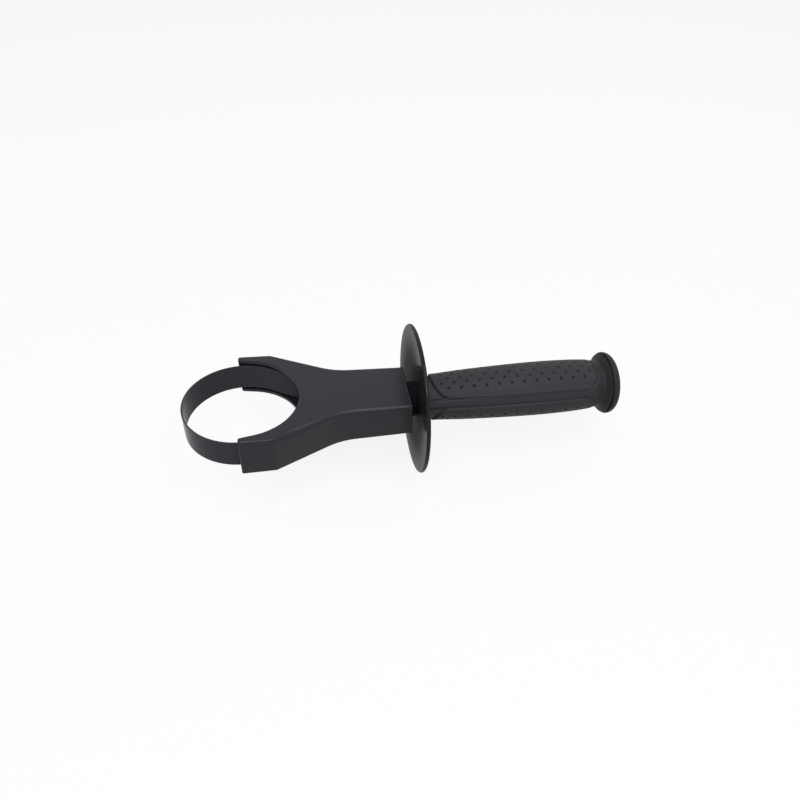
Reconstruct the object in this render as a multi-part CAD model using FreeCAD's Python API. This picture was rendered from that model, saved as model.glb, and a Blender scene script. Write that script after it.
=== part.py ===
import FreeCAD, Part

import math
import os

from FreeCAD import Vector

# Side handle of a power tool. A steel strap loops round the tool's collar and is
# drawn into a moulded fork by a bolt, when the grip is turned.
# Frame: origin at the centre of the clamped collar, Z along the tool, X towards the grip.

# Collar and strap
collar_radius = 33.0
strap_width = 16.5
strap_thickness = 0.8
strap_leave_angle = 58.0
leg_bend_radius = 8.0
foot_bend_radius = 0.8
foot_gap = 0.1
foot_margin = 1.0

# Fork housing
plate_thickness = 2.1
plate_strap_gap = 0.4
arm_rise = 1.6
housing_wall = 2.3
arm_depth = 4.6
arm_length = 17.6
tip_reach = 1.6
seat_clearance = 0.1
seat_flare_angle = 78.0
kink_rounding = 3.0
shoulder_angle = 25.6
shoulder_rounding = 40.0
neck_start_half_width = 19.6
neck_end_half_width = 19.0
neck_reach = 63.7
neck_end_wall = 9.0
tip_rounding = 1.0
top_rounding_tip = 1.1
top_rounding_end = 2.8
bottom_rounding = 1.3
bead_length = 1.4
bead_height = 0.6
bead_rounding = 0.5
seat_edge_rounding = 0.4

# Guide ribs in the neck, which keep the strap's legs against the bolt's head
guide_setback = 5.5
guide_rib_thickness = 2.0
guide_clearance = 0.4
guide_lead_in = 1.5

# Draw bolt, pressure plate and thrust washer
bolt_radius = 4.0
bolt_clearance = 0.3
bolt_end_past_insert = 5.2
bolt_point_chamfer = 0.8
head_across_flats = 13.0
head_height = 5.3
head_side_gap = 0.3
head_setback = 3.1
head_chamfer = 0.8
plate_depth = 2.0
plate_corner = 1.0
plate_edge_gap = 0.4
plate_bend_gap = 0.1
washer_radius = 9.0
washer_thickness = 2.0
washer_recess = 1.5
washer_side_gap = 0.3

# Grip core with its hand guard
hub_radius = 10.4
hub_height = 3.0
hub_rounding = 0.6
guard_radius = 44.8
guard_thickness = 2.4
guard_dish = 0.7
guard_rim_width = 4.0
core_flange_thickness = 2.5
core_bore_gap = 0.4
core_hollow_radius = 7.5
core_web = 4.0
insert_radius = 6.5
insert_length = 13.0
insert_depth = 3.5
insert_groove_depth = 0.7
insert_groove_width = 3.0
thread_gap = 0.05

# Soft sleeve: its distances along X start at the back of the guard
sleeve_gap = 0.2
sleeve_wall = 2.6
front_radius = 13.6
front_distance = 10.0
palm_radius = 14.9
palm_distance = 32.2
belly_radius = 16.05
belly_distance = 71.2
heel_radius = 15.65
heel_distance = 97.2
waist_radius = 14.4
waist_distance = 113.6
flange_radius = 18.3
flange_distance = 117.1
flange_fullness = 0.35
flange_lip = 0.4
flange_wall = 4.9
flange_rounding = 0.2

# Raised panels on the sleeve
panel_rise = 0.4
panel_start_distance = 7.8
panel_end_distance = 109.0
panel_nose_depth = 9.0
panel_nose_taper = 10.0
panel_end_taper = 14.0
panel_corner = 4.5
panel_half_angle = 77.0
panel_end_half_angle = 69.5
panel_direction = 109.0
panel_groove_width = 1.0
panel_groove_depth = 0.35

# End cap
cap_groove_width = 0.5
cap_groove_depth = 0.9
cap_rim_height = 0.85
cap_rim_rounding = 0.7
cap_length = 5.4
cap_end_rounding = 4.2
cap_crown = 0.4
cap_plug_gap = 0.1
cap_plug_length = 9.0
cap_plug_wall = 1.6

# Sizes and places that follow from the ones above
axis_x = Vector(1, 0, 0)
strap_mid_radius = collar_radius + strap_thickness / 2
leave_slope = math.tan(math.radians(strap_leave_angle))
seat_radius = collar_radius + seat_clearance
inner_half_height = strap_width / 2 + plate_strap_gap
half_height = inner_half_height + plate_thickness
arm_half_width = collar_radius + arm_depth
housing_end_x = collar_radius + neck_reach
cavity_end_x = housing_end_x - neck_end_wall
head_half_width = head_across_flats / 2
leg_inner_y = head_half_width + head_side_gap
leg_mid_y = leg_inner_y + strap_thickness / 2
leave_y = strap_mid_radius * math.sin(math.radians(strap_leave_angle))
leave_x = strap_mid_radius * math.cos(math.radians(strap_leave_angle))
leg_end_x = leave_x + (leave_y - leg_mid_y) * leave_slope
head_x = leg_end_x + head_setback
plate_x = head_x + head_height
foot_a_x = plate_x + plate_depth + strap_thickness / 2
foot_b_x = foot_a_x + strap_thickness + foot_gap
guide_start_x = leg_end_x + guide_setback
guide_half_width = leg_inner_y + strap_thickness + guide_clearance
bolt_hole_radius = bolt_radius + bolt_clearance
washer_x = housing_end_x - washer_recess
hub_x = washer_x + washer_thickness
guard_x = hub_x + hub_height
guard_back_x = guard_x + guard_thickness
insert_x = guard_x + insert_depth
insert_end_x = insert_x + insert_length
bolt_end_x = insert_end_x + bolt_end_past_insert
core_radius = front_radius - sleeve_wall
core_flange_radius = flange_radius - flange_wall
sleeve_x = guard_back_x + sleeve_gap
waist_x = guard_back_x + waist_distance
flange_x = guard_back_x + flange_distance
flange_end_x = flange_x + flange_lip
core_end_x = flange_end_x - flange_lip / 2
core_flange_x = core_end_x - core_flange_thickness
cap_rim_x = flange_end_x + cap_groove_width
cap_end_x = cap_rim_x + cap_length
cap_rim_radius = flange_radius + cap_rim_height
panel_start_x = guard_back_x + panel_start_distance
panel_end_x = guard_back_x + panel_end_distance


def polar(radius, angle):
    turn = math.radians(angle)
    return Vector(radius * math.cos(turn), radius * math.sin(turn), 0)


def mirrored(point):
    return Vector(point.x, -point.y, point.z)


def line(start, end):
    return Part.LineSegment(start, end).toShape()


def arc(start, middle, end):
    return Part.Arc(start, middle, end).toShape()


def rounded_path(points, radii):
    """Edges through the points, with an arc of the given radius at each inner one."""
    edges = []
    last = points[0]
    for before, corner, after, radius in zip(points, points[1:], points[2:], radii):
        if radius <= 0:
            edges.append(line(last, corner))
            last = corner
            continue
        back = (before - corner).normalize()
        ahead = (after - corner).normalize()
        half_angle = back.getAngle(ahead) / 2
        reach = radius / math.tan(half_angle)
        arc_start = corner + back * reach
        arc_end = corner + ahead * reach
        bisector = (back + ahead).normalize()
        middle = corner + bisector * (radius / math.sin(half_angle) - radius)
        edges.append(line(last, arc_start))
        edges.append(arc(arc_start, middle, arc_end))
        last = arc_end
    edges.append(line(last, points[-1]))
    return edges


def closed_face(corners):
    """Face inside a closed outline of (point, rounding) corners."""
    points = [point for point, rounding in corners]
    roundings = [rounding for point, rounding in corners]
    start = (points[-1] + points[0]) * 0.5
    return Part.Face(Part.Wire(rounded_path([start] + points + [start], roundings)))


def face_of(edges):
    return Part.Face(Part.Wire(Part.__sortEdges__(edges)))


def prism(face, bottom, top):
    """Solid over a plan face, between two heights."""
    base = face.copy()
    base.translate(Vector(0, 0, bottom))
    return base.extrude(Vector(0, 0, top - bottom))


def turned(corners):
    """Solid of revolution about X. A corner is x, radius and, where it is rounded, its rounding."""
    outline = [(Vector(corner[0], 0, corner[1]), sum(corner[2:])) for corner in corners]
    return closed_face(outline).revolve(Vector(), axis_x, 360)


def bar_x(radius, start_x, end_x):
    return Part.makeCylinder(radius, end_x - start_x, Vector(start_x, 0, 0), axis_x)


def block(start_x, end_x, start_y, end_y, half_z):
    corner = Vector(start_x, start_y, -half_z)
    return Part.makeBox(end_x - start_x, end_y - start_y, 2 * half_z, corner)


def side_corners(inset, start_x, end_x):
    """Corners of one side of the fork in plan, set in by a wall's thickness."""
    lean = math.radians(shoulder_angle)
    start = Vector(start_x, arm_half_width - inset, 0)
    kink = Vector(arm_length - inset * math.tan(lean / 2), start.y, 0)
    neck_start = neck_start_half_width - inset
    shoulder = Vector(kink.x + (kink.y - neck_start) / math.tan(lean), neck_start, 0)
    end = Vector(end_x, neck_end_half_width - inset, 0)
    return [start, kink, shoulder, end]


def both_sides(side):
    """The rounded edges of one side and of its mirror image, and the edge across their ends."""
    roundings = [kink_rounding, shoulder_rounding]
    other = [mirrored(point) for point in side]
    edges = rounded_path(side, roundings) + rounded_path(other, roundings)
    edges.append(line(side[-1], other[-1]))
    return edges


def plate_height(x):
    """Half the fork's height at a place along it. The plates part towards the arms."""
    return half_height + arm_rise * (1 - x / housing_end_x)


def between_plates(face, inset):
    """Solid over a plan face, between the plates' outer faces or as far inside them as given."""
    start_x = -2 * tip_reach
    start_z = plate_height(start_x) - inset
    end_z = half_height - inset
    profile = [(start_x, start_z), (housing_end_x, end_z), (housing_end_x, -end_z), (start_x, -start_z)]
    corners = [(Vector(x, -2 * arm_half_width, z), 0) for x, z in profile]
    wedge = closed_face(corners).extrude(Vector(0, 4 * arm_half_width, 0))
    return prism(face, -start_z, start_z).common(wedge)


def lies_on_plate(edge, side):
    """Whether an edge lies on the outer face of the upper (1) or the lower (-1) plate."""
    points = [vertex.Point for vertex in edge.Vertexes]
    points.append(edge.valueAt((edge.FirstParameter + edge.LastParameter) / 2))
    return all(abs(side * point.z - plate_height(point.x)) < 0.01 for point in points)


def fork_blank():
    """The fork's outline with its round seat, as thick as the housing is high."""
    side = side_corners(0, -tip_reach, housing_end_x)
    seat_end = polar(seat_radius, seat_flare_angle)
    flare = (seat_end.x + tip_reach) / math.tan(math.radians(seat_flare_angle))
    tip_inner = Vector(-tip_reach, seat_end.y + flare, 0)
    edges = both_sides(side)
    for side_of in (Vector, mirrored):
        edges.append(line(side_of(side[0]), side_of(tip_inner)))
        edges.append(line(side_of(tip_inner), side_of(seat_end)))
    edges.append(arc(seat_end, Vector(seat_radius, 0, 0), mirrored(seat_end)))
    return between_plates(face_of(edges), 0)


def upright_tip_edges(body):
    """The two upright outer edges at the arms' tips."""
    found = []
    for edge in body.Edges:
        box = edge.BoundBox
        outside = abs(abs(box.Center.y) - arm_half_width) < 0.01
        if outside and box.XMax < 0.01 and box.ZLength > half_height:
            found.append(edge)
    return found


def outline_edges(body, plate, side):
    """A plate's edges along one outer side of the fork, from the tip on."""
    found = []
    for edge in body.Edges:
        middle = edge.valueAt((edge.FirstParameter + edge.LastParameter) / 2)
        outside = math.hypot(middle.x, middle.y) > seat_radius + housing_wall / 2
        along = edge.BoundBox.XLength > 0.05 and middle.y * side > 0
        if lies_on_plate(edge, plate) and outside and along:
            found.append(edge)
    return sorted(found, key=lambda edge: edge.BoundBox.XMin)


def fork_cavity():
    """Space for the strap between the plates, without the guide ribs."""
    side = side_corners(housing_wall, -1.5 * tip_reach, cavity_end_x)
    edges = both_sides(side)
    edges.append(line(side[0], mirrored(side[0])))
    cavity = between_plates(face_of(edges), plate_thickness)
    rib_outer_y = guide_half_width + guide_rib_thickness
    for side_of in (Vector, mirrored):
        outline = [
            Vector(guide_start_x, guide_half_width + guide_lead_in, 0),
            Vector(guide_start_x + guide_lead_in, guide_half_width, 0),
            Vector(cavity_end_x + 1, guide_half_width, 0),
            Vector(cavity_end_x + 1, rib_outer_y, 0),
            Vector(guide_start_x, rib_outer_y, 0),
        ]
        rib = closed_face([(side_of(point), 0) for point in outline])
        cavity = cavity.cut(prism(rib, -arm_half_width, arm_half_width))
    return cavity


def end_bead():
    """Thin rounded bead round the end of the neck."""
    half_width = neck_end_half_width + bead_height
    half_depth = half_height + bead_height
    lower = bottom_rounding + bead_height
    upper = top_rounding_end + bead_height
    face = closed_face([
        (Vector(housing_end_x, half_width, -half_depth), lower),
        (Vector(housing_end_x, half_width, half_depth), upper),
        (Vector(housing_end_x, -half_width, half_depth), upper),
        (Vector(housing_end_x, -half_width, -half_depth), lower),
    ])
    bead = face.extrude(Vector(-bead_length, 0, 0))
    rims = [edge for edge in bead.Edges if edge.BoundBox.XLength < 0.01]
    return bead.makeFillet(bead_rounding, rims)


def round_top(body):
    """Rounds the fork's upper outer edges, with a radius that grows from tip to neck."""
    roundings = []
    for side in (1, -1):
        edges = outline_edges(body, 1, side)
        growth = (top_rounding_end - top_rounding_tip) / sum(edge.Length for edge in edges)
        radius = top_rounding_tip
        for edge in edges:
            next_radius = radius + growth * edge.Length
            number = [other.isSame(edge) for other in body.Edges].index(True) + 1
            roundings.append((number, radius, next_radius))
            radius = next_radius
    document = FreeCAD.newDocument()
    base = document.addObject("Part::Feature", "Fork")
    base.Shape = body
    rounded = document.addObject("Part::Fillet", "Rounded")
    rounded.Base = base
    rounded.Edges = roundings
    document.recompute()
    result = rounded.Shape.copy()
    FreeCAD.closeDocument(document.Name)
    return result


def seat_edges(body):
    """The plates' outer edges round the seat."""
    found = []
    for edge in body.Edges:
        middle = edge.valueAt((edge.FirstParameter + edge.LastParameter) / 2)
        round_seat = abs(math.hypot(middle.x, middle.y) - seat_radius) < 0.01
        if round_seat and (lies_on_plate(edge, 1) or lies_on_plate(edge, -1)):
            found.append(edge)
    return found


def clamp_housing():
    body = fork_blank()
    body = round_top(body.makeFillet(tip_rounding, upright_tip_edges(body)))
    lower = outline_edges(body, -1, 1) + outline_edges(body, -1, -1)
    body = body.makeFillet(bottom_rounding, lower)
    body = body.fuse(end_bead())
    body = body.cut(fork_cavity())
    body = body.makeFillet(seat_edge_rounding, seat_edges(body))
    body = body.cut(bar_x(bolt_hole_radius, cavity_end_x - 1, housing_end_x + 1))
    return body.cut(bar_x(washer_radius + washer_side_gap, washer_x, housing_end_x + 1))


def strap_outline(offset):
    """The strap's loop, legs and feet in plan, moved out from its middle line."""
    loop_radius = strap_mid_radius + offset
    leave = polar(loop_radius, strap_leave_angle)
    leg_y = leg_mid_y + offset
    leg_bend_x = leave.x + (leave.y - leg_y) * leave_slope
    foot_end_y = foot_margin - leg_inner_y
    foot_bend = foot_bend_radius + strap_thickness / 2 + offset
    edges = [arc(leave, Vector(-loop_radius, 0, 0), mirrored(leave))]
    for side_of, foot_x in ((Vector, foot_a_x), (mirrored, foot_b_x)):
        points = [
            leave,
            Vector(leg_bend_x, leg_y, 0),
            Vector(foot_x + offset, leg_y, 0),
            Vector(foot_x + offset, foot_end_y, 0),
        ]
        bends = [leg_bend_radius - offset, foot_bend]
        edges += rounded_path([side_of(point) for point in points], bends)
    return edges


def clamp_strap():
    half = strap_thickness / 2
    edges = strap_outline(half) + strap_outline(-half)
    for foot_x, foot_end_y in ((foot_a_x, foot_margin - leg_inner_y), (foot_b_x, leg_inner_y - foot_margin)):
        edges.append(line(Vector(foot_x - half, foot_end_y, 0), Vector(foot_x + half, foot_end_y, 0)))
    strap = prism(face_of(edges), -strap_width / 2, strap_width / 2)
    return strap.cut(bar_x(bolt_hole_radius, foot_a_x - strap_thickness, foot_b_x + strap_thickness))


def draw_bolt():
    corner_radius = head_half_width / math.cos(math.radians(30))
    hexagon = []
    for step in range(6):
        turn = math.radians(60 * step)
        corner = Vector(head_x, corner_radius * math.sin(turn), corner_radius * math.cos(turn))
        hexagon.append((corner, 0))
    head = closed_face(hexagon).extrude(axis_x * head_height)
    crown = turned([
        (head_x, 0),
        (head_x, corner_radius - head_chamfer * math.tan(math.radians(60))),
        (head_x + head_chamfer, corner_radius),
        (plate_x, corner_radius),
        (plate_x, 0),
    ])
    shank = turned([
        (plate_x - 1, 0),
        (plate_x - 1, bolt_radius),
        (bolt_end_x - bolt_point_chamfer, bolt_radius),
        (bolt_end_x, bolt_radius - bolt_point_chamfer),
        (bolt_end_x, 0),
    ])
    return head.common(crown).fuse(shank)


def pressure_plate():
    half_width = leg_inner_y - foot_bend_radius - plate_bend_gap
    half_tall = plate_height(plate_x + plate_depth) - plate_thickness - plate_edge_gap
    plate = block(plate_x, plate_x + plate_depth, -half_width, half_width, half_tall)
    corners = [edge for edge in plate.Edges if edge.BoundBox.XLength > plate_depth / 2]
    plate = plate.makeFillet(plate_corner, corners)
    return plate.cut(bar_x(bolt_hole_radius, plate_x - 1, foot_a_x))


def thrust_washer():
    return turned([
        (washer_x, bolt_hole_radius),
        (washer_x, washer_radius),
        (hub_x, washer_radius),
        (hub_x, bolt_hole_radius),
    ])


def insert_corners(bore):
    """The threaded insert's profile, with the groove that holds it in the core."""
    groove_radius = insert_radius - insert_groove_depth
    groove_x = insert_x + (insert_length - insert_groove_width) / 2
    return [
        (insert_x, bore),
        (insert_x, insert_radius),
        (groove_x, insert_radius),
        (groove_x, groove_radius),
        (groove_x + insert_groove_width, groove_radius),
        (groove_x + insert_groove_width, insert_radius),
        (insert_end_x, insert_radius),
        (insert_end_x, bore),
    ]


def grip_insert():
    return turned(insert_corners(bolt_radius + thread_gap))


def grip_core():
    """Hard core of the grip, moulded in one with the hand guard."""
    bore = bolt_radius + core_bore_gap
    rim_rounding = 0.46 * guard_thickness
    hollow_x = insert_end_x + core_web
    body = turned([
        (hub_x, bore),
        (hub_x, hub_radius, hub_rounding),
        (guard_x + guard_dish, hub_radius, hub_rounding),
        (guard_x, guard_radius - guard_rim_width),
        (guard_x, guard_radius, rim_rounding),
        (guard_back_x, guard_radius, rim_rounding),
        (guard_back_x, core_radius),
        (core_flange_x, core_radius),
        (core_flange_x, core_flange_radius),
        (core_end_x, core_flange_radius),
        (core_end_x, core_hollow_radius),
        (hollow_x, core_hollow_radius),
        (hollow_x, bore),
    ])
    return body.cut(turned(insert_corners(0)))


def sleeve_curve(rise):
    """Outer line of the sleeve from the guard to the waist, raised by the given amount."""
    stations = [
        (sleeve_x, front_radius),
        (guard_back_x + front_distance, front_radius),
        (guard_back_x + palm_distance, palm_radius),
        (guard_back_x + belly_distance, belly_radius),
        (guard_back_x + heel_distance, heel_radius),
        (waist_x, waist_radius),
    ]
    curve = Part.BSplineCurve()
    curve.interpolate([Vector(x, 0, radius + rise) for x, radius in stations])
    return curve.toShape()


def sleeve_body():
    """The sleeve without its panels: a swell for the palm, a waist and a flared flange."""
    base = sleeve_curve(0)
    waist = base.valueAt(base.LastParameter)
    flare_radius = waist_radius + flange_fullness * (flange_radius - waist_radius)
    flare_middle = Vector((waist_x + flange_x) / 2, 0, flare_radius)
    lip_start = Vector(flange_x - flange_rounding, 0, flange_radius - flange_rounding)
    lip_end = Vector(flange_end_x, 0, flange_radius - flange_rounding)
    flare = Part.BSplineCurve()
    flare.interpolate(
        [waist, flare_middle, lip_start],
        InitialTangent=base.tangentAt(base.LastParameter),
        FinalTangent=Vector(1, 0, 1),
    )
    lip = arc(lip_start, Vector((flange_x + flange_end_x) / 2, 0, flange_radius), lip_end)
    chain = [
        lip_end,
        Vector(flange_end_x, 0, core_flange_radius),
        Vector(core_flange_x, 0, core_flange_radius),
        Vector(core_flange_x, 0, core_radius),
        Vector(sleeve_x, 0, core_radius),
        base.valueAt(base.FirstParameter),
    ]
    edges = [base, flare.toShape(), lip]
    edges += [line(first, second) for first, second in zip(chain, chain[1:])]
    return face_of(edges).revolve(Vector(), axis_x, 360)


def panel_plan(grown):
    """A panel's outline seen square on, grown all round: a round nose and two round corners."""
    nose_half = (front_radius + panel_rise) * math.sin(math.radians(panel_half_angle)) + grown
    end_half = (waist_radius + panel_rise) * math.sin(math.radians(panel_end_half_angle)) + grown
    nose_centre = Vector(panel_start_x + panel_nose_depth, 0, 0)
    nose_side = nose_centre + Vector(0, nose_half, 0)
    clear_y = belly_radius + 2 * panel_rise + panel_groove_width
    end_x = panel_end_x + grown
    side = [
        nose_side,
        Vector(nose_centre.x + panel_nose_taper, clear_y, 0),
        Vector(end_x - panel_end_taper, clear_y, 0),
        Vector(end_x, end_half, 0),
    ]
    points = side + [mirrored(point) for point in reversed(side)]
    ellipse = Part.Ellipse(nose_side, Vector(panel_start_x - grown, 0, 0), nose_centre)
    nose = Part.ArcOfEllipse(ellipse, 0, math.pi).toShape()
    corner = panel_corner + grown
    path = rounded_path(points, [0, 0, corner, corner, 0, 0])
    return prism(face_of([nose] + path), 0, 2 * belly_radius)


def sleeve_sector(low, high):
    """A layer over the panel's share of the sleeve, between two heights from its surface."""
    outer = sleeve_curve(high)
    inner = sleeve_curve(low)
    edges = [outer, inner]
    for parameter in ("FirstParameter", "LastParameter"):
        ends = [curve.valueAt(getattr(curve, parameter)) for curve in (outer, inner)]
        edges.append(line(ends[0], ends[1]))
    sector = face_of(edges).revolve(Vector(), axis_x, 2 * panel_half_angle)
    sector.rotate(Vector(), axis_x, -panel_half_angle)
    return sector


def grip_sleeve():
    """The sleeve with its two raised panels, each with a groove round its nose and end."""
    panel = sleeve_sector(-sleeve_wall / 2, panel_rise).common(panel_plan(0))
    groove = sleeve_sector(-panel_groove_depth, panel_rise + 1).common(panel_plan(panel_groove_width))
    groove = groove.cut(panel_plan(0))
    sleeve = sleeve_body()
    for half_turn in (0, 180):
        turn = 90 - panel_direction + half_turn
        sleeve = sleeve.cut(groove.rotated(Vector(), axis_x, turn))
        sleeve = sleeve.fuse(panel.rotated(Vector(), axis_x, turn))
    return sleeve


def end_cap():
    """Push-in plug with a rounded end, set off from the flange by a groove."""
    plug_radius = core_hollow_radius - cap_plug_gap
    plug_x = core_end_x - cap_plug_length
    seat_radius_in_sleeve = core_flange_radius - cap_plug_gap
    groove_radius = flange_radius - cap_groove_depth
    return turned([
        (plug_x, plug_radius - cap_plug_wall),
        (plug_x, plug_radius),
        (core_end_x, plug_radius),
        (core_end_x, seat_radius_in_sleeve),
        (flange_end_x, seat_radius_in_sleeve),
        (flange_end_x, groove_radius),
        (cap_rim_x, groove_radius),
        (cap_rim_x, cap_rim_radius, cap_rim_rounding),
        (cap_end_x - cap_crown, cap_rim_radius, cap_end_rounding),
        (cap_end_x, 0),
        (core_end_x, 0),
        (core_end_x, plug_radius - cap_plug_wall),
    ])


def main():
    pieces = {
        "clamp_housing": clamp_housing,
        "clamp_strap": clamp_strap,
        "draw_bolt": draw_bolt,
        "pressure_plate": pressure_plate,
        "thrust_washer": thrust_washer,
        "grip_core": grip_core,
        "grip_insert": grip_insert,
        "grip_sleeve": grip_sleeve,
        "end_cap": end_cap,
    }
    os.makedirs("parts", exist_ok=True)
    for name, make in pieces.items():
        shape = make().removeSplitter().Solids[0]
        shape.exportStep(os.path.join("parts", name + ".step"))
        print(name, "valid" if shape.isValid() else "INVALID", round(shape.Volume, 1))


main()
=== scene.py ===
import math

import bmesh
import bpy
from mathutils import Matrix, Vector


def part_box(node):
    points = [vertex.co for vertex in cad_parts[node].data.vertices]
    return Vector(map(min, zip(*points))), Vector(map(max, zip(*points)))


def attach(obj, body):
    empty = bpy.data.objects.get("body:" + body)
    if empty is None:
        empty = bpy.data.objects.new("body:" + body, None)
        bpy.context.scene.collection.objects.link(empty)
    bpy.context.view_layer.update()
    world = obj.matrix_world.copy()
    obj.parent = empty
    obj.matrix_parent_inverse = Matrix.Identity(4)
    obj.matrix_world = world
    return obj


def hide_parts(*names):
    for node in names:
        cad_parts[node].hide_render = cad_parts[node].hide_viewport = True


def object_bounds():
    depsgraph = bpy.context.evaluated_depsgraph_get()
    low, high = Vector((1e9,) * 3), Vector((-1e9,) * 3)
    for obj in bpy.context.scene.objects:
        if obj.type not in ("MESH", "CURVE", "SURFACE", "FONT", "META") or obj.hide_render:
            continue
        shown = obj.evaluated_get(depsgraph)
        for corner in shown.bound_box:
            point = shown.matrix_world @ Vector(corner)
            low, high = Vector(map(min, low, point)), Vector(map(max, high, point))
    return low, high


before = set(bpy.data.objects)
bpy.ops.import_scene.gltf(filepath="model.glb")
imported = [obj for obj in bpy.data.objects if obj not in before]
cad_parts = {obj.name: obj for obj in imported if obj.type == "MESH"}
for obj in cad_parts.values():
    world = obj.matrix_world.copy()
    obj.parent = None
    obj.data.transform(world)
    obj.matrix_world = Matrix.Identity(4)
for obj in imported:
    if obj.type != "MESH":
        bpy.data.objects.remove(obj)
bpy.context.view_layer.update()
print("frame loaded")

mm = 0.001


def addObject(name, data):
    item = bpy.data.objects.new(name, data)
    bpy.context.scene.collection.objects.link(item)
    return item


# camera at the photograph's viewing angle, lens for a square picture
cameraSetup = {
    "place": (0.0310, -0.3142, 0.2782),
    "right": (0.98588, -0.16408, 0.03340),
    "up": (0.08297, 0.65198, 0.75368),
    "lens": 31.784,
    "sensor": 36.0,
    "nearest": 0.01,
}


def makeCamera(setup):
    right = Vector(setup["right"]).normalized()
    up = Vector(setup["up"]).normalized()
    back = right.cross(up)
    turn = Matrix((right, up, back)).transposed().to_4x4()
    data = bpy.data.cameras.new("photoCamera")
    data.lens = setup["lens"]
    data.sensor_width = setup["sensor"]
    data.clip_start = setup["nearest"]
    camera = addObject("photoCamera", data)
    camera.matrix_world = Matrix.Translation(setup["place"]) @ turn
    bpy.context.scene.camera = camera


makeCamera(cameraSetup)
print("camera set")


# surface effects shared by the materials
grainSetup = {
    "smoothness": 0.6,
    "fineDetail": 3,
    "fineTone": 0.8,
    "fineHeight": 0.6,
    "patchScale": 38,
    "patchDetail": 4,
}
linesSetup = {
    "lineDetail": 5,
    "patchScale": 55,
    "patchDetail": 3,
    "glossSwing": 0.18,
}
surfaceOutputs = {
    "Colour": "NodeSocketColor",
    "Roughness": "NodeSocketFloat",
    "Height": "NodeSocketFloat",
}


def addNode(tree, kind, **settings):
    node = tree.nodes.new(kind)
    for key, value in settings.items():
        setattr(node, key, value)
    return node


def feed(tree, value, socket):
    # another node's output is linked, a plain value is set
    if isinstance(value, bpy.types.NodeSocket):
        tree.links.new(value, socket)
    else:
        socket.default_value = value


def mathNode(tree, operation, *values):
    node = addNode(tree, "ShaderNodeMath", operation=operation)
    for value, socket in zip(values, node.inputs):
        feed(tree, value, socket)
    return node.outputs[0]


def noiseNode(tree, place, scale, detail):
    noise = addNode(tree, "ShaderNodeTexNoise")
    feed(tree, place, noise.inputs["Vector"])
    feed(tree, scale, noise.inputs["Scale"])
    feed(tree, detail, noise.inputs["Detail"])
    return noise.outputs["Fac"]


def startGroup(name, inputs, outputs):
    # an effect with its sockets, and the place on the piece that it follows
    group = bpy.data.node_groups.new(name, "ShaderNodeTree")
    for side, sockets in (("INPUT", inputs), ("OUTPUT", outputs)):
        for label, kind in sockets.items():
            group.interface.new_socket(name=label, in_out=side, socket_type=kind)
    given = addNode(group, "NodeGroupInput").outputs
    result = addNode(group, "NodeGroupOutput").inputs
    place = addNode(group, "ShaderNodeTexCoord").outputs["Object"]
    return group, given, result, place


def shiftColour(group, given, result, change):
    # the given colour, made lighter and darker around its own value
    factor = mathNode(group, "ADD", mathNode(group, "MULTIPLY", change, given["Tone"]), 1.0)
    shade = addNode(group, "ShaderNodeVectorMath", operation="SCALE")
    group.links.new(given["Colour"], shade.inputs[0])
    group.links.new(factor, shade.inputs["Scale"])
    group.links.new(shade.outputs[0], result["Colour"])


def makeGrainGroup(setup):
    # spark-eroded mould grain: fine pits, with slow patches of tone and gloss
    inputs = {
        "Colour": "NodeSocketColor",
        "Tone": "NodeSocketFloat",
        "Roughness": "NodeSocketFloat",
        "Gloss patches": "NodeSocketFloat",
        "Grain scale": "NodeSocketFloat",
    }
    group, given, result, place = startGroup("mouldGrain", inputs, surfaceOutputs)
    pits = addNode(group, "ShaderNodeTexVoronoi", feature="SMOOTH_F1")
    pits.inputs["Smoothness"].default_value = setup["smoothness"]
    group.links.new(place, pits.inputs["Vector"])
    group.links.new(given["Grain scale"], pits.inputs["Scale"])
    fine = noiseNode(group, place, given["Grain scale"], setup["fineDetail"])
    patches = noiseNode(group, place, setup["patchScale"], setup["patchDetail"])

    swing = mathNode(group, "SUBTRACT", patches, 0.5)
    speck = mathNode(group, "SUBTRACT", fine, 0.5)
    both = mathNode(group, "ADD", swing, mathNode(group, "MULTIPLY", speck, setup["fineTone"]))
    shiftColour(group, given, result, both)
    gloss = mathNode(group, "MULTIPLY", both, given["Gloss patches"])
    group.links.new(mathNode(group, "ADD", gloss, given["Roughness"]), result["Roughness"])
    fineHeight = mathNode(group, "MULTIPLY", fine, setup["fineHeight"])
    height = mathNode(group, "ADD", pits.outputs["Distance"], fineHeight)
    group.links.new(height, result["Height"])
    return group


def makeLinesGroup(setup):
    # fine lines along one direction, from rolling or turning
    inputs = {
        "Colour": "NodeSocketColor",
        "Tone": "NodeSocketFloat",
        "Roughness": "NodeSocketFloat",
        "Stretch": "NodeSocketVector",
    }
    group, given, result, place = startGroup("drawnLines", inputs, surfaceOutputs)
    stretched = addNode(group, "ShaderNodeVectorMath", operation="MULTIPLY")
    group.links.new(place, stretched.inputs[0])
    group.links.new(given["Stretch"], stretched.inputs[1])
    lines = noiseNode(group, stretched.outputs[0], 1, setup["lineDetail"])
    patches = noiseNode(group, place, setup["patchScale"], setup["patchDetail"])

    swing = mathNode(group, "SUBTRACT", lines, 0.5)
    slow = mathNode(group, "SUBTRACT", patches, 0.5)
    both = mathNode(group, "ADD", swing, slow)
    shiftColour(group, given, result, both)
    gloss = mathNode(group, "MULTIPLY", both, setup["glossSwing"])
    group.links.new(mathNode(group, "ADD", gloss, given["Roughness"]), result["Roughness"])
    group.links.new(lines, result["Height"])
    return group


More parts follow.
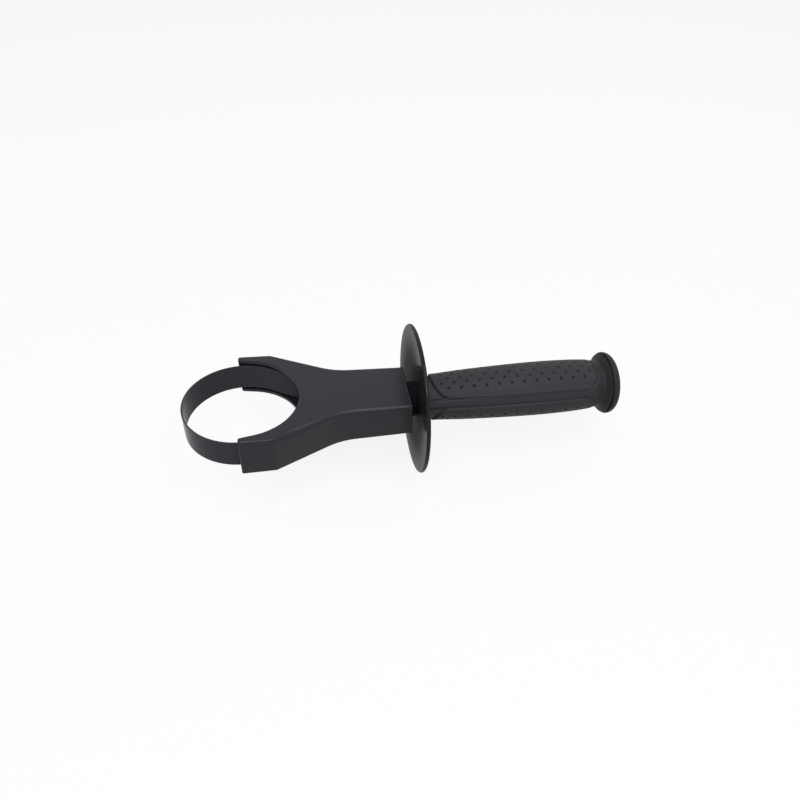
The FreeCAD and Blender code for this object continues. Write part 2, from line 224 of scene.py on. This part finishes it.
def makeHubShadeGroup():
    # a coat mask that grows with the distance from the grip's axis: painted shade, with little
    # gloss near the hub where the fork's shade and reflection fall
    reachSockets = {"Inner": "From Min", "Outer": "From Max", "Low": "To Min", "High": "To Max"}
    inputs = {label: "NodeSocketFloat" for label in reachSockets}
    group, given, result, place = startGroup("paintedHubShade", inputs, {"Mask": "NodeSocketFloat"})
    across = addNode(group, "ShaderNodeVectorMath", operation="MULTIPLY")
    across.inputs[1].default_value = (0, 1, 1)
    group.links.new(place, across.inputs[0])
    distance = addNode(group, "ShaderNodeVectorMath", operation="LENGTH")
    group.links.new(across.outputs[0], distance.inputs[0])
    reach = addNode(group, "ShaderNodeMapRange", interpolation_type="SMOOTHSTEP")
    group.links.new(distance.outputs["Value"], reach.inputs["Value"])
    for label, socket in reachSockets.items():
        group.links.new(given[label], reach.inputs[socket])
    group.links.new(reach.outputs["Result"], result["Mask"])
    return group


def makeLengthGroup():
    # one colour that passes into another along the grip
    inputs = {
        "Colour": "NodeSocketColor",
        "End colour": "NodeSocketColor",
        "From": "NodeSocketFloat",
        "To": "NodeSocketFloat",
    }
    group, given, result, place = startGroup("lengthTone", inputs, {"Colour": "NodeSocketColor"})
    parted = addNode(group, "ShaderNodeSeparateXYZ")
    group.links.new(place, parted.inputs[0])
    reach = addNode(group, "ShaderNodeMapRange", interpolation_type="SMOOTHSTEP")
    group.links.new(parted.outputs["X"], reach.inputs["Value"])
    group.links.new(given["From"], reach.inputs["From Min"])
    group.links.new(given["To"], reach.inputs["From Max"])
    passed = addNode(group, "ShaderNodeMix", data_type="RGBA")
    group.links.new(reach.outputs["Result"], passed.inputs["Factor"])
    group.links.new(given["Colour"], passed.inputs["A"])
    group.links.new(given["End colour"], passed.inputs["B"])
    group.links.new(passed.outputs["Result"], result["Colour"])
    return group


mouldGrain = makeGrainGroup(grainSetup)
drawnLines = makeLinesGroup(linesSetup)
paintedHubShade = makeHubShadeGroup()
lengthTone = makeLengthGroup()


def addEffect(tree, group, values):
    effect = addNode(tree, "ShaderNodeGroup")
    effect.node_tree = group
    for label, value in values.items():
        effect.inputs[label].default_value = value
    return effect


def makeMaterial(name, group, setup):
    material = bpy.data.materials.new(name)
    material.use_nodes = True
    tree = material.node_tree
    shader = tree.nodes["Principled BSDF"].inputs
    for label, value in setup["shader"].items():
        shader[label].default_value = value
    effect = addEffect(tree, group, setup["values"])
    bump = addNode(tree, "ShaderNodeBump")
    bump.inputs["Strength"].default_value = 1.0
    bump.inputs["Distance"].default_value = setup["bump"]
    tree.links.new(effect.outputs["Colour"], shader["Base Color"])
    tree.links.new(effect.outputs["Roughness"], shader["Roughness"])
    tree.links.new(effect.outputs["Height"], bump.inputs["Height"])
    tree.links.new(bump.outputs["Normal"], shader["Normal"])
    # the coat weight follows a painted-shade mask: less gloss near the hub, more at the rim
    if "hubShade" in setup:
        hubShade = addEffect(tree, paintedHubShade, setup["hubShade"])
        tree.links.new(hubShade.outputs["Mask"], shader["Coat Weight"])
    if "colours" in setup:
        colours = addEffect(tree, lengthTone, setup["colours"])
        tree.links.new(colours.outputs["Colour"], effect.inputs["Colour"])
    return material


forkFinish = {
    "values": {
        "Colour": (0.0172, 0.0170, 0.0232, 1),
        "Tone": 0.22,
        "Roughness": 0.34,
        "Gloss patches": 0.05,
        "Grain scale": 2200,
    },
    "shader": {"Specular IOR Level": 0.25},
    "bump": 0.02 * mm,
}
guardFinish = {
    "values": {
        "Colour": (0.0110, 0.0110, 0.0135, 1),
        "Tone": 0.12,
        "Roughness": 0.50,
        "Gloss patches": 0.05,
        "Grain scale": 1600,
    },
    "shader": {"Specular IOR Level": 0.015, "Coat Roughness": 0.08},
    "bump": 0.006 * mm,
    # painted shade: the guard's coat is weak near the hub and strong at the rim, standing in for
    # the fork's shade and reflection
    "hubShade": {"Inner": 24 * mm, "Outer": 48 * mm, "Low": 0.01, "High": 0.31},
}
# the sleeve's colour darkens from the waist onto its flange
sleeveFinish = {
    "values": {
        "Tone": 0.34,
        "Roughness": 0.58,
        "Gloss patches": 0.08,
        "Grain scale": 1500,
    },
    "shader": {"Specular IOR Level": 0.16},
    "bump": 0.03 * mm,
    "colours": {
        "Colour": (0.0365, 0.0360, 0.0415, 1),
        "End colour": (0.0235, 0.0235, 0.0270, 1),
        "From": 0.2080,
        "To": 0.2150,
    },
}
capFinish = {
    "values": {
        "Colour": (0.0235, 0.0235, 0.0270, 1),
        "Tone": 0.2,
        "Roughness": 0.58,
        "Gloss patches": 0.06,
        "Grain scale": 1500,
    },
    "shader": {"Specular IOR Level": 0.16},
    "bump": 0.02 * mm,
}
strapFinish = {
    "values": {
        "Colour": (0.0490, 0.0480, 0.0585, 1),
        "Tone": 0.12,
        "Roughness": 0.24,
        "Stretch": (40, 40, 2600),
    },
    "shader": {"Specular IOR Level": 0.07},
    "bump": 0.003 * mm,
}
steelFinish = {
    "values": {
        "Colour": (0.46, 0.46, 0.44, 1),
        "Tone": 0.2,
        "Roughness": 0.3,
        "Stretch": (900, 60, 60),
    },
    "shader": {"Metallic": 1.0},
    "bump": 0.003 * mm,
}
brassFinish = {
    "values": {
        "Colour": (0.66, 0.47, 0.2, 1),
        "Tone": 0.2,
        "Roughness": 0.32,
        "Stretch": (1200, 60, 60),
    },
    "shader": {"Metallic": 1.0},
    "bump": 0.003 * mm,
}

forkPlastic = makeMaterial("forkPlastic", mouldGrain, forkFinish)
guardPlastic = makeMaterial("guardPlastic", mouldGrain, guardFinish)
sleeveRubber = makeMaterial("sleeveRubber", mouldGrain, sleeveFinish)
capPlastic = makeMaterial("capPlastic", mouldGrain, capFinish)
coatedSteel = makeMaterial("coatedSteel", drawnLines, strapFinish)
zincSteel = makeMaterial("zincSteel", drawnLines, steelFinish)
turnedBrass = makeMaterial("turnedBrass", drawnLines, brassFinish)

nodeMaterials = {
    "clamp_housing": forkPlastic,
    "clamp_strap": coatedSteel,
    "draw_bolt": zincSteel,
    "pressure_plate": zincSteel,
    "thrust_washer": zincSteel,
    "grip_core": guardPlastic,
    "grip_insert": turnedBrass,
    "grip_sleeve": sleeveRubber,
    "end_cap": capPlastic,
}
for nodeName, material in nodeMaterials.items():
    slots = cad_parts[nodeName].data.materials
    slots.clear()
    slots.append(material)
print("materials made")


# moulded sleeve with its dimpled panels; lengths in millimetres from the guard's back
sleeveShape = {
    "stations": [
        (0.2, 13.6), (10.0, 13.6), (32.2, 14.9), (71.2, 16.05), (97.2, 15.65), (113.6, 14.4),
    ],
    "bore": 11.0,
    "frontRounding": 0.3,
    "flangeBore": 13.4,
    "coreFlange": 114.8,
    "lipStart": 116.9,
    "lipEnd": 117.3,
    "lipRadius": 18.3,
    "lipRounding": 0.3,
    "waistPull": (4.33, -0.35),
    "lipPull": (3.53, 3.53),
    "flareSteps": 14,
    "lipSteps": 6,
    # spacing of the mesh, and how far the fine spacing reaches
    "coarse": 0.62,
    "fine": 0.26,
    "fineReach": 1.1,
    # relief starts this far along, on what lies this far outside the bore
    "reliefStart": 1,
    "reliefHeight": 1.5,
    "weld": 0.002,
    "sharpAngle": 50,
}
panelShape = {
    "directions": (109.0, 289.0),
    "halfAngle": 77.5,
    "endNarrowing": 7.5,
    "narrowLength": 8.0,
    "start": 7.8,
    "end": 109.0,
    "noseDepth": 10.6,
    "noseHalfAngle": 75.4,
    "noseHalfWidth": 17.9,
    "noseFlattest": 0.001,
    "corner": 4.5,
    "rise": 0.4,
    "edgeStart": -0.1,
    "edgeWidth": 0.5,
    # over this distance the border passes from nose or end to side
    "passFrom": -2.5,
    "passTo": 0.5,
    "grooveMiddle": -0.5,
    "grooveWidth": 0.5,
    "noseGroove": 1.2,
    "endGroove": 0.6,
    "creaseGroove": 0.8,
    "ridgeHeight": 0.6,
    "ridgeMiddle": -0.1,
    "ridgeWidth": 0.8,
    # fine rings of the mesh lie this far past its start and end
    "startRings": 0.5,
    "endRings": 0.2,
}
dimpleShape = {
    "rowAngles": (-50.75, -36.25, -21.75, -7.25, 7.25, 21.75, 36.25, 50.75),
    # first dimple's place and the number of dimples, for the rows by turns
    "rows": ((17.4, 12), (13.6, 13)),
    "pitch": 7.65,
    "radius": 1.0,
    "depth": 1.4,
    "bowl": 1.2,
}


def pulledCurve(start, end, startPull, endPull, t):
    # a point on the smooth curve between two places, leaving and arriving along the pulls
    rise = 3 * t ** 2 - 2 * t ** 3
    lead = t ** 3 - 2 * t ** 2 + t
    trail = t ** 3 - t ** 2
    return [
        a + (b - a) * rise + p * lead + q * trail
        for a, b, p, q in zip(start, end, startPull, endPull)
    ]


def radiusAt(x):
    # smooth line through the stations, with slopes taken from the neighbours
    stations = sleeveShape["stations"]
    index = 0
    while index < len(stations) - 2 and x > stations[index + 1][0]:
        index += 1

    def slopeAt(number):
        low = stations[max(number - 1, 0)]
        high = stations[min(number + 1, len(stations) - 1)]
        return (high[1] - low[1]) / (high[0] - low[0])

    span = stations[index + 1][0] - stations[index][0]
    t = min(max((x - stations[index][0]) / span, 0), 1)
    pulls = [[slopeAt(number) * span] for number in (index, index + 1)]
    return pulledCurve(stations[index][1:], stations[index + 1][1:], *pulls, t)[0]


def smoothStep(low, high, value):
    t = min(max((value - low) / (high - low), 0), 1)
    return t * t * (3 - 2 * t)


def hump(value, middle, width):
    return math.exp(-((value - middle) / width) ** 2)


def panelEdges(x, angle, radius):
    # distances inside the panel's nearest side, inside its nose and inside its end
    shape = panelShape
    narrowed = smoothStep(shape["end"] - shape["narrowLength"], shape["end"], x)
    halfAngle = shape["halfAngle"] - shape["endNarrowing"] * narrowed
    side = math.radians(halfAngle - abs(angle)) * radius
    across = min(abs(angle) / shape["noseHalfAngle"], 1)
    rounded = math.sqrt(max(1 - across * across, shape["noseFlattest"]))
    noseX = shape["start"] + shape["noseDepth"] * (1 - rounded)
    lean = shape["noseDepth"] * across / rounded / shape["noseHalfWidth"]
    nose = (x - noseX) / math.hypot(1, lean)
    cornerX = x - (shape["end"] - shape["corner"])
    cornerS = shape["corner"] - side
    end = shape["end"] - x
    if cornerX > 0 and cornerS > 0:
        end = shape["corner"] - math.hypot(cornerX, cornerS)
    return side, nose, end


def panelOffset(x, angle, radius):
    shape = panelShape
    side, nose, end = panelEdges(x, angle, radius)
    inside = min(side, nose, end)
    offset = shape["rise"] * smoothStep(shape["edgeStart"], shape["edgeWidth"], inside)
    # how much the border here is the nose, the end or the long side
    passing = (shape["passFrom"], shape["passTo"])
    noseShare = smoothStep(*passing, side - nose) if nose < end else 0
    endShare = smoothStep(*passing, side - end) if end <= nose else 0
    sideShare = 1 - noseShare - endShare
    depth = noseShare * shape["noseGroove"] + endShare * shape["endGroove"]
    # one long side ends in a crease, the other in a ridge
    if angle > 0:
        depth += sideShare * shape["creaseGroove"]
    offset -= depth * hump(inside, shape["grooveMiddle"], shape["grooveWidth"])
    if angle < 0:
        ridge = hump(side, shape["ridgeMiddle"], shape["ridgeWidth"])
        offset += sideShare * shape["ridgeHeight"] * ridge
    return offset


def dimpleDepth(x, angle, radius):
    shape = dimpleShape
    deepest = 0
    for row, rowAngle in enumerate(shape["rowAngles"]):
        across = math.radians(angle - rowAngle) * radius
        if abs(across) > shape["radius"]:
            continue
        first, count = shape["rows"][row % 2]
        number = min(max(round((x - first) / shape["pitch"]), 0), count - 1)
        reach = math.hypot(x - first - number * shape["pitch"], across) / shape["radius"]
        if reach < 1:
            deepest = max(deepest, shape["depth"] * (1 - reach * reach) ** shape["bowl"])
    return deepest


def sleeveOffset(x, angle, radius):
    offset = 0
    for direction in panelShape["directions"]:
        fromMiddle = (angle - direction + 180) % 360 - 180
        if abs(fromMiddle) < 90:
            offset += panelOffset(x, fromMiddle, radius) - dimpleDepth(x, fromMiddle, radius)
    return offset


def unevenSteps(start, end, middles, reach, fine, coarse):
    # places from start to end, close together near each middle and wider apart elsewhere
    places = [start]
    while places[-1] < end:
        near = any(abs(places[-1] + fine / 2 - middle) < reach for middle in middles)
        places.append(places[-1] + (fine if near else coarse))
    stretch = (end - start) / (places[-1] - start)
    return [start + (place - start) * stretch for place in places]


def ringPlaces(start, end):
    # lengths along the sleeve, close together at the dimples and at the panels' start and end
    shape = panelShape
    middles = [shape["start"] + shape["startRings"], shape["end"] + shape["endRings"]]
    for first, count in dimpleShape["rows"]:
        middles += [first + number * dimpleShape["pitch"] for number in range(count)]
    steps = [sleeveShape[label] for label in ("fineReach", "fine", "coarse")]
    return unevenSteps(start, end, middles, *steps)


def turnPlaces():
    # angles round the sleeve, close together at the rows of dimples and the panels' sides
    shape = panelShape
    widest = max(radius for x, radius in sleeveShape["stations"])
    degrees = 180 / math.pi / widest
    middles = []
    for direction in shape["directions"]:
        middles += [direction + rowAngle for rowAngle in dimpleShape["rowAngles"]]
        middles += [direction + shape["halfAngle"], direction - shape["halfAngle"]]
    middles += [middle - 360 for middle in middles if middle > 360]
    steps = [sleeveShape[label] * degrees for label in ("fineReach", "fine", "coarse")]
    return unevenSteps(0, 360, middles, *steps)[:-1]


def sleeveProfile():
    shape = sleeveShape
    (start, startRadius), (waist, waistRadius) = shape["stations"][0], shape["stations"][-1]
    rounding = shape["frontRounding"]
    points = [(start, shape["bore"]), (start, startRadius - rounding)]
    points += [(x, radiusAt(x)) for x in ringPlaces(start + rounding, waist)]
    # flare up to the flange's lip, and over its rounded edge
    lip = (shape["lipStart"], shape["lipRadius"] - shape["lipRounding"])
    pulls = (shape["waistPull"], shape["lipPull"])
    for number in range(1, shape["flareSteps"] + 1):
        t = number / shape["flareSteps"]
        points.append(tuple(pulledCurve((waist, waistRadius), lip, *pulls, t)))
    halfLip = (shape["lipEnd"] - lip[0]) / 2
    for number in range(1, shape["lipSteps"] + 1):
        across = 2 * number / shape["lipSteps"] - 1
        lipRadius = shape["lipRadius"] - shape["lipRounding"] * across ** 2
        points.append((lip[0] + halfLip * (1 + across), lipRadius))
    points += [
        (shape["lipEnd"], shape["flangeBore"]),
        (shape["coreFlange"], shape["flangeBore"]),
        (shape["coreFlange"], shape["bore"]),
    ]
    return points


def spinProfile(points, originX, steps, weld):
    # a closed outline in x and radius, carried once round the X axis
    mesh = bmesh.new()
    places = [(originX + x * mm, 0, radius * mm) for x, radius in points]
    first = bmesh.ops.create_vert(mesh, co=places[0])["vert"][0]
    last = first
    for place in places[1:]:
        last = bmesh.ops.extrude_vert_indiv(mesh, verts=[last])["verts"][0]
        last.co = place
    mesh.edges.new((last, first))
    bmesh.ops.spin(
        mesh, geom=mesh.verts[:] + mesh.edges[:], axis=(1, 0, 0), cent=(0, 0, 0),
        angle=math.tau, steps=steps, use_merge=True,
    )
    bmesh.ops.remove_doubles(mesh, verts=mesh.verts[:], dist=weld)
    bmesh.ops.recalc_face_normals(mesh, faces=mesh.faces[:])
    return mesh


def toObject(mesh, name, material):
    data = bpy.data.meshes.new(name)
    mesh.to_mesh(data)
    mesh.free()
    data.materials.append(material)
    return addObject(name, data)


def makeSleeve():
    shape = sleeveShape
    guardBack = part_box("grip_sleeve")[0][0] - sleeveShape["stations"][0][0] * mm
    turns = turnPlaces()
    mesh = spinProfile(sleeveProfile(), guardBack, len(turns), shape["weld"] * mm)
    waist = shape["stations"][-1][0]
    for vert in mesh.verts:
        # the even steps of the spin become the uneven ones, then the surface gets its relief
        even = math.degrees(math.atan2(vert.co.z, -vert.co.y)) % 360
        angle = turns[round(even * len(turns) / 360) % len(turns)]
        x = (vert.co.x - guardBack) / mm
        radius = math.hypot(vert.co.y, vert.co.z) / mm
        if radius > shape["bore"] + shape["reliefHeight"] and shape["reliefStart"] < x < waist:
            radius += sleeveOffset(x, angle, radius)
        vert.co.y = -radius * mm * math.cos(math.radians(angle))
        vert.co.z = radius * mm * math.sin(math.radians(angle))
    for face in mesh.faces:
        face.smooth = True
    piece = toObject(mesh, "mouldedSleeve", sleeveRubber)
    piece.data.set_sharp_from_angle(angle=math.radians(shape["sharpAngle"]))
    return piece


sleeve = makeSleeve()
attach(sleeve, "grip")
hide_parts("grip_sleeve")
print("sleeve made,", len(sleeve.data.polygons), "faces")


# pale floor under the guard, and soft light from all round
floorGap = 0.1 * mm
stageSetup = {
    "floorZ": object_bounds()[0][2] - floorGap,
    "floorSize": 8.0,
    "floorTone": 0.36,
    "floorGlow": 0.86,
    "worldLight": 0.38,
    "lamps": [
        {"name": "keyPanel", "place": (0.1, -0.52, 1.3), "size": 1.1, "power": 11.2},
        {"name": "frontPanel", "place": (0.0, -0.92, 1.06), "size": 0.36, "power": 2.5},
        {"name": "backPanel", "place": (0.9, 0.7, 0.9), "size": 1.2, "power": 1.2},
    ],
}


def whiteToTheEye(tree):
    # one for what the camera or a mirror-like surface sees, nought for plain light
    path = addNode(tree, "ShaderNodeLightPath")
    seen = mathNode(tree, "MAXIMUM", path.outputs["Is Camera Ray"], path.outputs["Is Glossy Ray"])
    return mathNode(tree, "MAXIMUM", seen, path.outputs["Is Transmission Ray"])


def makeFloorMaterial(setup):
    material = bpy.data.materials.new("paleFloor")
    material.use_nodes = True
    tree = material.node_tree
    tree.nodes.remove(tree.nodes["Principled BSDF"])
    seen = whiteToTheEye(tree)
    surface = addNode(tree, "ShaderNodeBsdfDiffuse")
    tone = addNode(tree, "ShaderNodeMix", data_type="RGBA")
    tone.inputs["A"].default_value = (setup["floorTone"],) * 3 + (1,)
    tone.inputs["B"].default_value = (1, 1, 1, 1)
    tree.links.new(seen, tone.inputs["Factor"])
    tree.links.new(tone.outputs["Result"], surface.inputs["Color"])
    # the eye sees most of the floor's light as plain white, so that the shadow stays faint
    white = addNode(tree, "ShaderNodeEmission")
    shown = addNode(tree, "ShaderNodeMixShader")
    tree.links.new(mathNode(tree, "MULTIPLY", seen, setup["floorGlow"]), shown.inputs[0])
    tree.links.new(surface.outputs[0], shown.inputs[1])
    tree.links.new(white.outputs[0], shown.inputs[2])
    tree.links.new(shown.outputs[0], tree.nodes["Material Output"].inputs["Surface"])
    return material


def makeFloor(setup):
    mesh = bmesh.new()
    bmesh.ops.create_grid(mesh, x_segments=1, y_segments=1, size=setup["floorSize"] / 2)
    bmesh.ops.translate(mesh, verts=mesh.verts[:], vec=(0, 0, setup["floorZ"]))
    floor = toObject(mesh, "floor", makeFloorMaterial(setup))


def makeWorld(setup):
    world = bpy.data.worlds.new("softTent")
    world.use_nodes = True
    bpy.context.scene.world = world
    tree = world.node_tree
    background = tree.nodes["Background"].inputs
    background["Color"].default_value = (1, 1, 1, 1)
    extra = mathNode(tree, "MULTIPLY", whiteToTheEye(tree), 1 - setup["worldLight"])
    strength = mathNode(tree, "ADD", extra, setup["worldLight"])
    tree.links.new(strength, background["Strength"])


def makeLamp(lamp):
    data = bpy.data.lights.new(lamp["name"], "AREA")
    data.size = lamp["size"]
    data.energy = lamp["power"]
    item = addObject(lamp["name"], data)
    item.location = lamp["place"]
    item.rotation_euler = (-Vector(lamp["place"])).to_track_quat("-Z", "Y").to_euler()


makeFloor(stageSetup)
makeWorld(stageSetup)
for lamp in stageSetup["lamps"]:
    makeLamp(lamp)
bpy.context.scene.view_settings.view_transform = "Standard"
print("stage lit")
